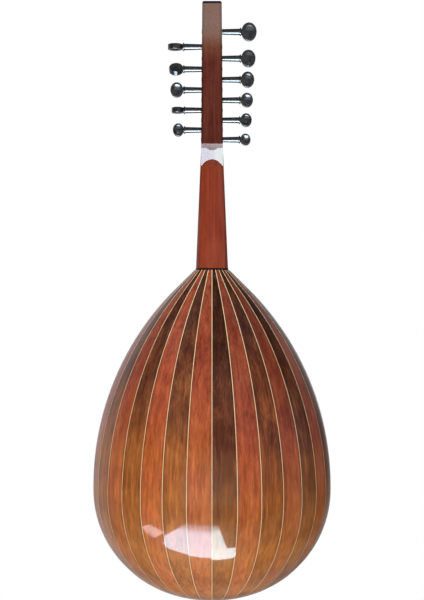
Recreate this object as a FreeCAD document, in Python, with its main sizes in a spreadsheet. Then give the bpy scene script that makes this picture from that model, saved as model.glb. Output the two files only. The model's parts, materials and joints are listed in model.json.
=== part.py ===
"""A short-necked lute (an oud), built as the real one is: every glued or fitted piece is its own solid.

The frame: +Z runs up the neck and +X to the bass side.  +Y points out of the soundboard, so the
bowl bulges towards -Y.  The origin is the corner where the fingerboard plane meets the pegbox.
"""
import FreeCAD, Part
import math
import os
import re
import Sketcher
from FreeCAD import Placement, Rotation, Vector

os.makedirs("parts", exist_ok=True)
doc = FreeCAD.newDocument("oud")

# ---------------------------------------------------------------- driving dimensions (mm and degrees)
SIZES = {
    # the bowl's outline, measured from the neck joint towards the tail
    "neck_length": 182,
    "widest_place": 320,
    "bowl_radius": 175,
    "shoulder_radius": 408,
    "shoulder_turn": 45.4,
    "lower_radius": 161.7,
    "lower_turn": 67.8,
    "rib_thickness": 2.6,
    "rib_angle": 11.25,
    "seam_width": 0.9,
    "tip_radius": 14,
    "clasp_radius": 27,
    "clasp_thickness": 1.2,
    "block_inset": 3.6,
    "neck_block_length": 46,
    "tail_block_length": 14,
    # the soundboard and what is on it
    "board_thickness": 2,
    "binding_width": 2.5,
    "brace_width": 5,
    "brace_depth": 12,
    "brace_a": 88,
    "brace_b": 136,
    "brace_c": 243,
    "brace_d": 303,
    "brace_e": 348,
    "brace_f": 384,
    "brace_g": 432,
    "large_hole_place": 190,
    "large_hole_radius": 40,
    "small_hole_place": 272,
    "small_hole_radius": 16,
    "small_hole_side": 68,
    "rosette_thickness": 1.4,
    "rosette_depth": 0.3,
    "rosette_gap": 0.1,
    "guard_place": 294,
    "guard_length": 78,
    "guard_width": 74,
    "guard_end_width": 44,
    "guard_thickness": 0.5,
    "guard_corner": 12,
    "guard_side_radius": 110,
    "bridge_place": 408,
    "bridge_length": 12,
    "bridge_width": 112,
    "bridge_height": 9,
    "bridge_end_height": 3.5,
    "bridge_step": 9,
    "bridge_step_radius": 10.8,
    # the neck
    "ring_length": 2.6,
    "ring_proud": 0.5,
    "neck_half_width": 23.6,
    "nut_half_width": 15.6,
    "neck_depth": 26.5,
    "neck_end_depth": 24.4,
    "neck_side": 4,
    "neck_end_side": 16,
    "fingerboard_thickness": 3,
    "nut_start": 7.2,
    "nut_thickness": 5,
    "nut_round": 4,
    "string_height": 1.8,
    # the pegbox, in its own frame: along its centreline, and across towards its open side
    "pegbox_angle": 42,
    "straight_run": 150,
    "bend_radius": 88,
    "bend_turn": 29,
    "end_run": 36.5,
    "base_depth": 34,
    "tip_depth": 24,
    "base_width": 32,
    "tip_width": 26.5,
    "cheek_thickness": 4,
    "back_thickness": 4,
    "heel_start": 34,
    "heel_length": 26,
    "heel_depth": 10.5,
    "heel_drop": 11.5,
    "heel_tilt": 8,
    "tongue_place": 18.3,
    "tongue_tip": 14.5,
    "tongue_half_width": 8.2,
    "tongue_radius": 13,
    "end_block_length": 12,
    "cap_thickness": 3,
    "cap_corner": 2.6,
    # the pegs
    "first_peg": 21.5,
    "peg_pitch": 16.8,
    "last_pitch": 20.4,
    "peg_radius": 3.8,
    "peg_taper": 0.025,
    "peg_clearance": 0.05,
    "peg_tip": 0.3,
    "peg_tip_chamfer": 0.5,
    "peg_hole_overshoot": 4,
    "collar_length": 2.4,
    "collar_extra": 1.3,
    "collar_slope": 0.7,
    "collar_step": 0.3,
    "shaft_entry": 5,
    "shaft_entry_gap": 0.4,
    "head_thickness": 7.4,
    "head_waist": 3.6,
    "head_ratio": 0.84,
    "head_rounding": 0.9,
    "dish_share": 0.84,
    "dish_overshoot": 1,
    "largest_head": 24.9,
    "smallest_head": 17.8,
    "longest_neck": 26.4,
    "shortest_neck": 25.3,
    # the strings
    "course_spacing": 4.0,
    "pair_spacing": 1.8,
    "bridge_course_spacing": 15,
    "bridge_pair_spacing": 3.6,
    "bridge_string_height": 5.5,
    "string_clearance": 0.05,
    "string_side_gap": 2.2,
    "winding_gap": 0.3,
    "thinnest_string": 0.6,
    "thickest_string": 1.1,
}

BRACE_PLACES = ["brace_a", "brace_b", "brace_c", "brace_d", "brace_e", "brace_f", "brace_g"]
RIBS_PER_SIDE = 8
COURSES = 6
PEG_COUNT = 11
# how many times a cutter or blank is larger than the size that it has to reach past
OVERSIZE = 4
# the largest differences let pass between two runs, in millimetres, and between two volumes, as a share
RUN_TOLERANCE = 0.001
VOLUME_TOLERANCE = 0.01

sheet = doc.addObject("Spreadsheet::Sheet", "Sizes")
for row, (alias, size) in enumerate(SIZES.items(), start=1):
    sheet.set(f"A{row}", alias)
    sheet.set(f"B{row}", str(size))
    sheet.setAlias(f"B{row}", alias)
doc.recompute()


# ---------------------------------------------------------------- helpers
def named(expression):
    """The expression with each of the sheet's names written as Sizes.name."""
    def full_name(word):
        return f"Sizes.{word[0]}" if word[0] in SIZES else word[0]

    return re.sub("[a-z_]+", full_name, str(expression))


def size(expression):
    """The number that an expression of the sheet's names gives."""
    answer = sheet.evalExpression(named(expression))
    return float(getattr(answer, "Value", answer))


def bind(feature, values):
    """Binds each property of the feature to its expression of sheet names."""
    for prop, expression in values.items():
        feature.setExpression(prop, named(expression))


def origin_item(body, role):
    """The body's own origin plane or axis with this role."""
    return next(item for item in body.Origin.OriginFeatures if item.Role == role)


def new_body(label, placement=None):
    """A PartDesign body whose label names the sub-part."""
    body = doc.addObject("PartDesign::Body", label)
    body.Label = label
    body.AllowCompound = True
    if placement is not None:
        body.Placement = placement
    return body


def sketch_on(body, role, offset=None):
    """A sketch on one of the body's origin planes, moved by the offset."""
    sketch = body.newObject("Sketcher::SketchObject", f"{body.Label}_sketch")
    sketch.AttachmentSupport = (origin_item(body, role), [""])
    sketch.MapMode = "FlatFace"
    if offset is not None:
        sketch.AttachmentOffset = offset
    return sketch


def arc_between(start, end, radius, side):
    """The shorter arc from start to end; side 1 puts its centre to the left of the way, -1 to the right."""
    middle = (start + end) * 0.5
    along = end - start
    half = along.Length / 2
    to_centre = math.sqrt(max(radius * radius - half * half, 0))
    left = Vector(-along.y, along.x, 0).normalize()
    centre = middle + left * (side * to_centre)
    on_arc = centre - left * (side * radius)
    return Part.Arc(start, on_arc, end)


def trace(sketch, path):
    """Draws a closed outline whose corners and radii are bound to the sheet.

    Each step of the path is (x, y) for a straight line to that corner, or (x, y, radius, side)
    for an arc to it.  The first step says how the outline comes back to its first corner.
    """
    corners = [Vector(size(step[0]), size(step[1]), 0) for step in path]
    edges = []
    for place, step in enumerate(path):
        start = corners[place - 1]
        end = corners[place]
        if len(step) == 2:
            edges.append(sketch.addGeometry(Part.LineSegment(start, end), False))
            continue
        arc = arc_between(start, end, size(step[2]), step[3])
        edges.append(sketch.addGeometry(arc, False))
    for place, step in enumerate(path):
        edge = edges[place]
        follower = edges[(place + 1) % len(path)]
        end_point = matching_end(sketch, edge, corners[place])
        next_point = matching_end(sketch, follower, corners[place])
        sketch.addConstraint(Sketcher.Constraint("Coincident", edge, end_point, follower, next_point))
        for kind, expression in (("DistanceX", step[0]), ("DistanceY", step[1])):
            number = sketch.addConstraint(
                Sketcher.Constraint(kind, -1, 1, edge, end_point, size(expression)))
            sketch.setExpression(f"Constraints[{number}]", named(expression))
        if len(step) > 2:
            number = sketch.addConstraint(Sketcher.Constraint("Radius", edge, size(step[2])))
            sketch.setExpression(f"Constraints[{number}]", named(step[2]))


def matching_end(sketch, edge, corner):
    """1 or 2: which end of the edge lies on the corner."""
    first = sketch.getPoint(edge, 1)
    second = sketch.getPoint(edge, 2)
    if first.distanceToPoint(corner) < second.distanceToPoint(corner):
        return 1
    return 2


def circle(sketch, x, y, radius):
    """A circle whose centre and radius are bound to the sheet."""
    shape = Part.Circle(Vector(size(x), size(y), 0), Vector(0, 0, 1), size(radius))
    edge = sketch.addGeometry(shape, False)
    for kind, expression in (("DistanceX", x), ("DistanceY", y)):
        number = sketch.addConstraint(Sketcher.Constraint(kind, -1, 1, edge, 3, size(expression)))
        sketch.setExpression(f"Constraints[{number}]", named(expression))
    number = sketch.addConstraint(Sketcher.Constraint("Radius", edge, size(radius)))
    sketch.setExpression(f"Constraints[{number}]", named(radius))


def pad(body, sketch, length, kind="One side", reverse=False):
    """Pads the sketch by a length of sheet names."""
    feature = body.newObject("PartDesign::Pad", f"{body.Label}_pad")
    feature.Profile = sketch
    feature.SideType = kind
    feature.Reversed = reverse
    bind(feature, {"Length": length})
    sketch.Visibility = False
    return feature


def pocket_through(body, sketch):
    """Cuts the sketch right through the body, both ways, and checks that it removed something."""
    doc.recompute()
    before = body.Shape.Volume
    feature = body.newObject("PartDesign::Pocket", f"{body.Label}_pocket")
    feature.Profile = sketch
    feature.Type = "ThroughAll"
    feature.SideType = "Symmetric"
    doc.recompute()
    if body.Shape.Volume > before - 1:
        raise RuntimeError(f"{body.Label}: the pocket cut nothing")
    return feature


def box(label, x, y, z, length, width, height):
    """A block from its lowest corner, every size bound to the sheet."""
    block = doc.addObject("Part::Box", label)
    block.Label = label
    bind(block, {
        "Length": length,
        "Width": width,
        "Height": height,
        "Placement.Base.x": x,
        "Placement.Base.y": y,
        "Placement.Base.z": z,
    })
    return block


def boolean(kind, label, base, tool):
    """Part::Cut, Part::Common or Part::Fuse of two objects, as a sub-part of its own."""
    result = doc.addObject(kind, label)
    result.Label = label
    result.Base = base
    result.Tool = tool
    return result


def compound(label, members):
    """Several separate solids in one node."""
    group = doc.addObject("Part::Compound", label)
    group.Label = label
    group.Links = members
    return group


# ---------------------------------------------------------------- the bowl's outline
def at(place):
    """The height of a place measured from the neck joint towards the tail."""
    return f"-neck_length - ({place})"


def line_half_width(place, inset):
    """Half-width of the straight stretch beside the neck, which leans by the shoulder's turn."""
    top = (f"bowl_radius - shoulder_radius + (shoulder_radius - ({inset})) / cos(shoulder_turn)"
           f" - (widest_place - ({place})) * tan(shoulder_turn)")
    return f"({top})"


TAIL_RADIUS = "(lower_radius + (bowl_radius - lower_radius) / cos(lower_turn))"
TAIL_CENTRE = "(widest_place - (bowl_radius - lower_radius) * tan(lower_turn))"


def outline_points(start, inset, stop=None):
    """The outline from the neck end to the tail, as corners with their radii.

    It goes down the right side: a straight stretch, the shoulder arc, the lower arc and the tail arc.
    An inset moves the whole line inwards.  The tail arc stops at the half-width stop, or on the axis.
    """
    shoulder = f"(shoulder_radius - ({inset}))"
    lower = f"(lower_radius - ({inset}))"
    tail = f"({TAIL_RADIUS} - ({inset}))"
    shoulder_centre = "(bowl_radius - shoulder_radius)"
    lower_centre = "(bowl_radius - lower_radius)"
    end_width = stop if stop else "0"
    end_place = f"{TAIL_CENTRE} + sqrt({tail} * {tail} - ({end_width}) * ({end_width}))"
    return [
        (line_half_width(start, inset), at(start)),
        (f"{shoulder_centre} + {shoulder} * cos(shoulder_turn)",
         at(f"widest_place - {shoulder} * sin(shoulder_turn)")),
        (f"bowl_radius - ({inset})", at("widest_place"), shoulder, -1),
        (f"{lower_centre} + {lower} * cos(lower_turn)",
         at(f"widest_place + {lower} * sin(lower_turn)"), lower, -1),
        (end_width, at(end_place), tail, -1),
    ]


def backwards(points):
    """The same corners in the other order, each with the arc that now leads to it."""
    turned = []
    for place in range(len(points) - 1, -1, -1):
        corner = tuple(points[place][:2])
        if place + 1 < len(points) and len(points[place + 1]) > 2:
            corner += (points[place + 1][2], -points[place + 1][3])
        turned.append(corner)
    return turned


def mirrored(points):
    """The corners on the other side of the axis; an arc then turns the other way."""
    return [(f"-({step[0]})",) + tuple(step[1:3]) + ((-step[3],) if len(step) > 2 else ()) for step in points]


def band(start, outer, inner, stop):
    """A closed strip between two insets of the outline."""
    return outline_points(start, outer, stop) + backwards(outline_points(start, inner, stop))


def about_axis(angle):
    """The bowl's pieces are made beside +X and turned about the bowl's own axis."""
    return Placement(Vector(0, size("seam_width / 2 - board_thickness"), 0), Rotation(Vector(0, 0, 1), angle))


def turned_plane(angle, shift):
    """An XZ plane turned about the vertical axis, then moved along its own normal."""
    turn = Placement(Vector(), Rotation(Vector(0, 1, 0), angle))
    return turn.multiply(Placement(Vector(0, 0, shift), Rotation()))


# ---------------------------------------------------------------- the bowl
def make_rib(side, number):
    """One bent rib, flat across, between two seams; number 1 lies beside the centre seam."""
    angle = size(f"90 - ({number} - 0.5) * rib_angle")
    turn = -angle if side == "right" else angle - 180
    rib = new_body(f"rib_{side}_{number}", about_axis(turn))
    half_angle = size("rib_angle / 2")
    half_seam = size("seam_width / 2")
    sections = []
    for way in (1, -1):
        sketch = sketch_on(rib, "XZ_Plane", turned_plane(way * half_angle, way * half_seam))
        trace(sketch, band("ring_length", "0", "rib_thickness", "tip_radius"))
        sections.append(sketch)
    loft = rib.newObject("PartDesign::AdditiveLoft", f"{rib.Label}_loft")
    loft.Profile = sections[0]
    loft.Sections = [sections[1]]
    loft.Ruled = True
    return rib


def make_stringing():
    """The pale strips between the ribs, one in each seam."""
    strips = new_body("rib_stringing", about_axis(0))
    seams = 2 * RIBS_PER_SIDE - 1
    last_seam = size(f"-{seams} * rib_angle")
    sketch = sketch_on(strips, "XZ_Plane", turned_plane(last_seam, 0))
    trace(sketch, band("ring_length", "0", "rib_thickness", "tip_radius"))
    strip = pad(strips, sketch, "seam_width", "Symmetric")
    pattern = strips.newObject("PartDesign::PolarPattern", "rib_stringing_pattern")
    pattern.Originals = [strip]
    pattern.Axis = (origin_item(strips, "Z_Axis"), [""])
    pattern.Occurrences = seams
    bind(pattern, {"Angle": f"{seams - 1} * rib_angle"})
    strips.Tip = pattern
    return strips


def half_turn(body, sketch):
    """Turns the sketch half a turn about the vertical axis, on the bowl's side."""
    feature = body.newObject("PartDesign::Revolution", f"{body.Label}_revolution")
    feature.Profile = sketch
    feature.ReferenceAxis = (sketch, ["V_Axis"])
    feature.Angle = 180
    feature.Reversed = True
    return feature


def make_end_clasp():
    """A thin cap over the rib tips at the tail."""
    clasp = new_body("end_clasp", about_axis(0))
    inner = f"({TAIL_RADIUS})"
    outer = f"({TAIL_RADIUS} + clasp_thickness)"
    inner_edge = f"{TAIL_CENTRE} + sqrt({inner} * {inner} - clasp_radius * clasp_radius)"
    outer_edge = f"{TAIL_CENTRE} + sqrt({outer} * {outer} - clasp_radius * clasp_radius)"
    sketch = sketch_on(clasp, "XZ_Plane")
    trace(sketch, [
        ("0", at(f"{TAIL_CENTRE} + {inner}"), inner, -1),
        ("0", at(f"{TAIL_CENTRE} + {outer}")),
        ("clasp_radius", at(outer_edge), outer, 1),
        ("clasp_radius", at(inner_edge)),
    ])
    half_turn(clasp, sketch)
    return clasp


def make_bowl_space(label):
    """The room inside the ribs, which trims the blocks and braces to the bowl's inner shape."""
    space = new_body(label, about_axis(0))
    sketch = sketch_on(space, "XZ_Plane")
    side = outline_points("ring_length", "block_inset")
    trace(sketch, [("0", at("ring_length"))] + side)
    half_turn(space, sketch)
    return space


def make_neck_block():
    """The block that the neck is glued to."""
    block = box("neck_block_blank", "-bowl_radius", "-bowl_radius * 2", at("neck_block_length"),
                "2 * bowl_radius", "2 * bowl_radius - board_thickness", "neck_block_length - ring_length")
    return boolean("Part::Common", "neck_block", block, make_bowl_space("neck_block_room"))


def make_tail_block():
    """The block that the rib tips and the soundboard are glued to at the tail."""
    block = box("tail_block_blank", "-bowl_radius", "-bowl_radius * 2", at(f"{TAIL_CENTRE} + {TAIL_RADIUS}"),
                "2 * bowl_radius", "2 * bowl_radius - board_thickness", "tail_block_length + block_inset")
    return boolean("Part::Common", "tail_block", block, make_bowl_space("tail_block_room"))


def make_braces():
    """The bars glued across the underside of the soundboard."""
    bars = []
    for number, place in enumerate(BRACE_PLACES, start=1):
        bars.append(box(f"brace_blank_{number}", "-bowl_radius", "-board_thickness - brace_depth",
                        at(f"{place} + brace_width / 2"), "2 * bowl_radius", "brace_depth", "brace_width"))
    return boolean("Part::Common", "braces", compound("brace_blanks", bars), make_bowl_space("brace_room"))


# ---------------------------------------------------------------- the soundboard
def make_soundboard_half(side):
    """One of the two bookmatched halves, with its share of the sound holes."""
    half = new_body(f"soundboard_{side}")
    points = outline_points("ring_length", "binding_width")
    path = [("0", at("ring_length"))] + points
    hole_x = "small_hole_side"
    if side == "left":
        path = mirrored(path)
        hole_x = "-small_hole_side"
    sketch = sketch_on(half, "XZ_Plane")
    trace(sketch, path)
    pad(half, sketch, "board_thickness")
    holes = sketch_on(half, "XZ_Plane")
    circle(holes, "0", at("large_hole_place"), "large_hole_radius")
    circle(holes, hole_x, at("small_hole_place"), "small_hole_radius")
    pocket_through(half, holes)
    return half


def make_edge_binding():
    """The strip of wood let in round the soundboard's edge."""
    binding = new_body("edge_binding")
    right = outline_points("ring_length", "0")
    inner = outline_points("ring_length", "binding_width")
    left = backwards(mirrored(right))[1:]
    back = mirrored(inner) + backwards(inner)[1:]
    sketch = sketch_on(binding, "XZ_Plane")
    trace(sketch, right + left + back)
    pad(binding, sketch, "board_thickness")
    return binding


def rosette_lattice(body, radius, rings, centre_x, centre_z):
    """Cuts the openwork: rings of round openings, each ring a polar pattern about the rosette's centre."""
    for number, (share, hole_share, count) in enumerate(rings, start=1):
        sketch = sketch_on(body, "XZ_Plane")
        circle(sketch, centre_x, f"{centre_z} + {share} * {radius}", f"{hole_share} * {radius}")
        cut = pocket_through(body, sketch)
        pattern = body.newObject("PartDesign::PolarPattern", f"{body.Label}_ring_{number}")
        pattern.Originals = [cut]
        pattern.Axis = (origin_item(body, "Y_Axis"), [""])
        pattern.Angle = 360
        pattern.Occurrences = count
        body.Tip = pattern
        doc.recompute()


LARGE_RINGS = [(0.80, 0.088, 24), (0.60, 0.090, 16), (0.40, 0.085, 12), (0.20, 0.080, 6)]
SMALL_RINGS = [(0.74, 0.13, 14), (0.42, 0.14, 7)]


def make_rosette(label, radius, rings, x, place):
    """A round of openwork let into a sound hole, made about its own centre."""
    spot = Placement(Vector(size(x), -size("rosette_depth"), size(at(place))), Rotation())
    rosette = new_body(label, spot)
    sketch = sketch_on(rosette, "XZ_Plane")
    circle(sketch, "0", "0", f"{radius} - rosette_gap")
    pad(rosette, sketch, "rosette_thickness")
    rosette_lattice(rosette, radius, rings, "0", "0")
    return rosette


def make_pickguard():
    """A thin shield between the large sound hole and the bridge."""
    guard = new_body("pickguard")
    top = at("guard_place")
    bottom = at("guard_place + guard_length")
    sketch = sketch_on(guard, "XZ_Plane")
    trace(sketch, [
        ("-guard_width / 2", f"{top} - guard_corner", "guard_side_radius", -1),
        ("-guard_width / 2 + guard_corner", top, "guard_corner", -1),
        ("guard_width / 2 - guard_corner", top),
        ("guard_width / 2", f"{top} - guard_corner", "guard_corner", -1),
        ("guard_end_width / 2", bottom, "guard_side_radius", -1),
        ("-guard_end_width / 2", bottom, "guard_end_width", -1),
    ])
    pad(guard, sketch, "guard_thickness", reverse=True)
    return guard


def make_bridge(strings):
    """The bridge, low at its ends, with a hole for each string."""
    blank = new_body("bridge_blank")
    sketch = sketch_on(blank, "XY_Plane")
    bind(sketch, {"AttachmentOffset.Base.z": at("bridge_place + bridge_length")})
    trace(sketch, [
        ("-bridge_width / 2", "0"),
        ("bridge_width / 2", "0"),
        ("bridge_width / 2", "bridge_end_height"),
        ("bridge_width / 2 - bridge_step", "bridge_height", "bridge_step_radius", -1),
        ("bridge_step - bridge_width / 2", "bridge_height"),
        ("-bridge_width / 2", "bridge_end_height", "bridge_step_radius", -1),
    ])
    pad(blank, sketch, "bridge_length")
    return boolean("Part::Cut", "bridge", blank, bridge_holes(strings))


# ---------------------------------------------------------------- the neck
def neck_section(sketch, half_width, depth, side, top, proud="0"):
    """A flat-topped section with short straight sides and a round back."""
    half = f"({half_width} + {proud})"
    shoulder = f"-fingerboard_thickness - {side}"
    sag = f"({depth} + {proud} - fingerboard_thickness - {side})"
    trace(sketch, [
        (f"-{half}", top),
        (half, top),
        (half, shoulder),
        (f"-{half}", shoulder, f"({half} * {half} + {sag} * {sag}) / (2 * {sag})", -1),
    ])


def make_neck_loft(label):
    """The neck's full length, from the bowl to the fingerboard's end."""
    neck = new_body(label)
    joint = sketch_on(neck, "XY_Plane")
    bind(joint, {"AttachmentOffset.Base.z": "-neck_length"})
    neck_section(joint, "neck_half_width", "neck_depth", "neck_side", "-fingerboard_thickness")
    end = sketch_on(neck, "XY_Plane")
    neck_section(end, "nut_half_width", "neck_end_depth", "neck_end_side", "-fingerboard_thickness")
    loft = neck.newObject("PartDesign::AdditiveLoft", f"{label}_loft")
    loft.Profile = joint
    loft.Sections = [end]
    loft.Ruled = True
    return neck


def make_neck():
    """The neck, which stops short of its full length where the pegbox heel begins."""
    beyond = box("neck_end_waste", "-neck_half_width * 2", "-neck_depth * 2", "-heel_start",
                 f"neck_half_width * {OVERSIZE}", f"neck_depth * {OVERSIZE}", "heel_start * 2")
    return boolean("Part::Cut", "neck", make_neck_loft("neck_blank"), beyond)


def make_neck_ring():
    """The dark ring between the neck and the bowl."""
    ring = new_body("neck_ring")
    sketch = sketch_on(ring, "XY_Plane")
    bind(sketch, {"AttachmentOffset.Base.z": "-neck_length - ring_length"})
    neck_section(sketch, "neck_half_width", "neck_depth", "neck_side", "0", "ring_proud")
    pad(ring, sketch, "ring_length")
    return ring


def make_fingerboard():
    """The thin board on the neck, level with the soundboard."""
    board = new_body("fingerboard")
    end_width = "(nut_half_width + (neck_half_width - nut_half_width) * nut_start / neck_length)"
    sketch = sketch_on(board, "XZ_Plane")
    trace(sketch, [
        ("-neck_half_width", "-neck_length"),
        ("neck_half_width", "-neck_length"),
        (end_width, "-nut_start"),
        (f"-{end_width}", "-nut_start"),
    ])
    pad(board, sketch, "fingerboard_thickness")
    return board


def make_nut(strings):
    """The nut, rounded towards the pegbox, with a half-round groove for each string."""
    blank = new_body("nut_blank")
    rear = "nut_thickness - nut_start"
    sketch = sketch_on(blank, "YZ_Plane")
    trace(sketch, [
        ("-fingerboard_thickness", "-nut_start"),
        ("string_height", "-nut_start"),
        ("string_height", f"{rear} - nut_round"),
        ("string_height - nut_round", rear, "nut_round", 1),
        ("-fingerboard_thickness", rear),
    ])
    pad(blank, sketch, "2 * nut_half_width", "Symmetric")
    return boolean("Part::Cut", "nut", blank, nut_grooves(strings))


# ---------------------------------------------------------------- the pegbox
PEGBOX_FRAME = Placement(
    Vector(0, -size("base_depth / 2 * cos(pegbox_angle)"), -size("base_depth / 2 * sin(pegbox_angle)")),
    Rotation(Vector(1, 0, 0), size("pegbox_angle")))
BEND_END = "(straight_run + bend_radius * bend_turn * pi / 180)"
TOTAL_RUN = f"({BEND_END} + end_run)"


def centreline(run):
    """Along and across places of the pegbox's centreline after this run, and its turn in degrees."""
    if size(run) <= size("straight_run"):
        return run, "0", "0"
    if size(run) <= size(BEND_END) + RUN_TOLERANCE:
        turn = f"(({run} - straight_run) / bend_radius * 180 / pi)"
        return (f"straight_run + bend_radius * sin({turn})",
                f"bend_radius * (1 - cos({turn}))", turn)
    rest = f"({run} - {BEND_END})"
    return (f"straight_run + bend_radius * sin(bend_turn) + {rest} * cos(bend_turn)",
            f"bend_radius * (1 - cos(bend_turn)) + {rest} * sin(bend_turn)", "bend_turn")


def side_point(run, side, inset="0", beyond="0"):
    """A point of the pegbox seen from its side, as (across, along).

    Side 1 is the open edge and -1 the back; an inset moves the point inwards from that edge.
    """
    along, across, turn = centreline(run)
    half_depth = f"((base_depth - (base_depth - tip_depth) * {run} / {TOTAL_RUN}) / 2 - {inset})"
    return (f"{across} + {side} * {half_depth} * cos({turn}) + {beyond} * sin({turn})",
            f"{along} - {side} * {half_depth} * sin({turn}) + {beyond} * cos({turn})")


def half_width_at(along):
    """The pegbox's outer half-width, which narrows evenly from base to tip."""
    end = centreline(TOTAL_RUN)[0]
    return f"(base_width / 2 - (base_width - tip_width) / 2 * ({along}) / ({end}))"


def plan_block(label, left, right):
    """A deep block between two lines of the pegbox's plan, given as shares of its half-width and an inset."""
    block = new_body(label, PEGBOX_FRAME)
    near = "-heel_drop"
    far = f"({centreline(TOTAL_RUN)[0]} + cap_thickness * {OVERSIZE})"
    sketch = sketch_on(block, "XZ_Plane")
    trace(sketch, [
        (left.format(half=half_width_at(near)), near),
        (right.format(half=half_width_at(near)), near),
        (right.format(half=half_width_at(far)), far),
        (left.format(half=half_width_at(far)), far),
    ])
    pad(block, sketch, f"base_depth * {OVERSIZE}", "Symmetric")
    return block


FULL_PLAN = ("-{half}", "{half}")
ROOM_PLAN = ("cheek_thickness - {half}", "{half} - cheek_thickness")
CHEEK_PLANS = {
    "left": ("-{half}", "cheek_thickness - {half}"),
    "right": ("{half} - cheek_thickness", "{half}"),
}


def pegbox_piece(label, side_path, plan):
    """A piece of the pegbox: its side view, kept where its plan is."""
    side_view = new_body(f"{label}_side_view", PEGBOX_FRAME)
    sketch = sketch_on(side_view, "YZ_Plane")
    trace(sketch, side_path)
    pad(side_view, sketch, "base_width * 2", "Symmetric")
    return boolean("Part::Common", label, side_view, plan_block(f"{label}_plan", *plan))


def make_cheek(side, holes):
    """One side wall of the pegbox, with its tapered peg holes."""
    ledge = "heel_depth - base_depth / 2"
    path = [
        (ledge, "0"),
        side_point("0", 1),
        side_point("straight_run", 1),
        side_point(BEND_END, 1) + ("bend_radius - tip_depth / 2", -1),
        side_point(TOTAL_RUN, 1),
        side_point(TOTAL_RUN, -1, "back_thickness"),
        side_point(BEND_END, -1, "back_thickness"),
        side_point("straight_run", -1, "back_thickness") + ("bend_radius + tip_depth / 2", 1),
        side_point("heel_length", -1, "back_thickness"),
        (ledge, side_point("heel_length", -1)[1]),
    ]
    blank = pegbox_piece(f"pegbox_{side}_cheek_blank", path, CHEEK_PLANS[side])
    return boolean("Part::Cut", f"pegbox_{side}_cheek", blank, holes)


def make_pegbox_back():
    """The plate that closes the pegbox behind."""
    path = [
        side_point("heel_length", -1, "back_thickness"),
        side_point("straight_run", -1, "back_thickness"),
        side_point(BEND_END, -1, "back_thickness") + ("bend_radius + tip_depth / 2", -1),
        side_point(TOTAL_RUN, -1, "back_thickness"),
        side_point(TOTAL_RUN, -1),
        side_point(BEND_END, -1),
        side_point("straight_run", -1) + ("bend_radius + tip_depth / 2", 1),
        side_point("heel_length", -1),
    ]
    return pegbox_piece("pegbox_back", path, FULL_PLAN)


def make_end_block():
    """The block between the cheeks at the pegbox's tip."""
    start = f"({TOTAL_RUN} - end_block_length)"
    path = [
        side_point(start, -1, "back_thickness"),
        side_point(start, 1),
        side_point(TOTAL_RUN, 1),
        side_point(TOTAL_RUN, -1, "back_thickness"),
    ]
    return pegbox_piece("pegbox_end_block", path, ROOM_PLAN)


def make_pegbox_cap():
    """The dark plate over the pegbox's end, rounded at its two outer corners."""
    path = [
        side_point(TOTAL_RUN, -1),
        side_point(TOTAL_RUN, 1),
        side_point(TOTAL_RUN, 1, "0", "cap_thickness"),
        side_point(TOTAL_RUN, -1, "0", "cap_thickness"),
    ]
    blank = pegbox_piece("pegbox_cap_blank", path, FULL_PLAN)
    doc.recompute()
    outer_edges = far_side_edges(blank.Shape)
    if len(outer_edges) != 2:
        raise RuntimeError(f"pegbox_cap: {len(outer_edges)} outer corners found")
    cap = doc.addObject("Part::Fillet", "pegbox_cap")
    cap.Label = "pegbox_cap"
    cap.Base = blank
    cap.Edges = [(number, size("cap_corner"), size("cap_corner")) for number in outer_edges]
    return cap


def far_side_edges(shape):
    """The numbers of the cap's edges that run from back to front along its outer face's two sides."""
    end_along, end_across, end_turn = (size(value) for value in centreline(TOTAL_RUN))
    onward = Vector(0, math.sin(math.radians(end_turn)), math.cos(math.radians(end_turn)))
    outward = PEGBOX_FRAME.Rotation.multVec(onward)
    end = PEGBOX_FRAME.multVec(Vector(0, end_across, end_along))
    numbers = []
    for number, edge in enumerate(shape.Edges, start=1):
        middle = edge.CenterOfMass
        is_outer = (middle - end).dot(outward) > size("cap_thickness") - RUN_TOLERANCE
        is_at_side = abs(middle.x) > size("tip_width") / OVERSIZE
        if is_outer and is_at_side:
            numbers.append(number)
    return numbers


def make_heel_facet():
    """The wedge cut from the heel's back, which leaves a flatter facet below a rounded tongue."""
    wedge = new_body("heel_facet_side_view", PEGBOX_FRAME)
    sketch = sketch_on(wedge, "YZ_Plane")
    trace(sketch, [
        ("-base_depth / 2", "0"),
        ("-base_depth / 2 + heel_length * tan(heel_tilt)", "heel_length"),
        ("-base_depth", "heel_length"),
        ("-base_depth", "0"),
    ])
    pad(wedge, sketch, "base_width * 2", "Symmetric")
    plan = new_body("heel_facet_plan", PEGBOX_FRAME)
    outline = sketch_on(plan, "XZ_Plane")
    trace(outline, [
        ("-base_width", "-heel_drop"),
        ("base_width", "-heel_drop"),
        ("base_width", "tongue_place"),
        ("tongue_half_width", "tongue_place"),
        ("0", "tongue_tip", "tongue_radius", -1),
        ("-tongue_half_width", "tongue_place", "tongue_radius", -1),
        ("-base_width", "tongue_place"),
    ])
    pad(plan, outline, f"base_depth * {OVERSIZE}", "Symmetric")
    return boolean("Part::Common", "heel_facet", wedge, plan)


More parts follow.
